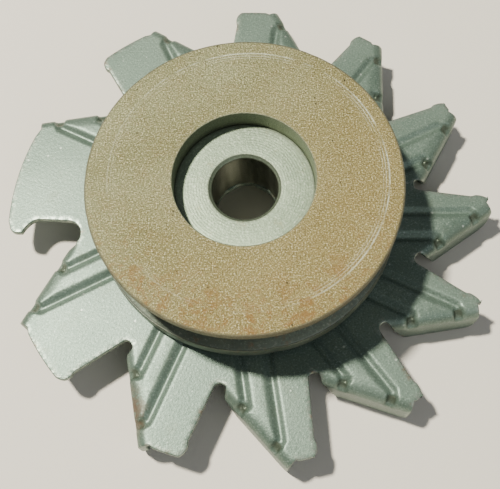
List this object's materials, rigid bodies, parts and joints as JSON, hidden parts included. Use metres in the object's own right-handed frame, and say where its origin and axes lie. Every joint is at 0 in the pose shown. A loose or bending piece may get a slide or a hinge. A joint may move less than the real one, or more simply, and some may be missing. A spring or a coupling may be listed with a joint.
{
  "type": "alternator pulley with cooling fan",
  "caption": "Single-groove V-belt pulley on a stamped sheet-steel radial cooling fan with unevenly spaced folded vanes, bored for an alternator shaft",
  "frame": {"origin": "on the shaft axis, in the plane where the hub sits on the fan", "axes": "+Z along the shaft, out of the pulley's front face; X and Y in the plane of the fan"},
  "size_m": [0.1328, 0.1326, 0.0356],
  "materials": {
    "front_sheave": "bare turned steel under a thin tan film of rust",
    "hub": "matt grey-green phosphated steel with faint turning marks",
    "rear_sheave": "matt grey-green phosphated steel, worn at the rim",
    "fan_sheet": "thin grey-green paint on pressed sheet, worn bright along the edges"
  },
  "bodies": {
    "fan": {"fan_plate": "fan_sheet", "blade_1": "fan_sheet", "blade_2": "fan_sheet", "blade_3": "fan_sheet", "blade_4": "fan_sheet", "blade_5": "fan_sheet", "blade_6": "fan_sheet", "blade_7": "fan_sheet", "blade_8": "fan_sheet", "blade_9": "fan_sheet", "blade_10": "fan_sheet", "blade_11": "fan_sheet"},
    "pulley": {"front_sheave": "front_sheave", "hub": "hub", "rear_sheave": "rear_sheave"}
  },
  "joints": [
    {"name": "pulley_turn", "type": "hinge", "parent": "fan", "child": "pulley", "pos_m": [0, 0, 0], "axis": [0, 0, 1], "continuous": true}
  ]
}
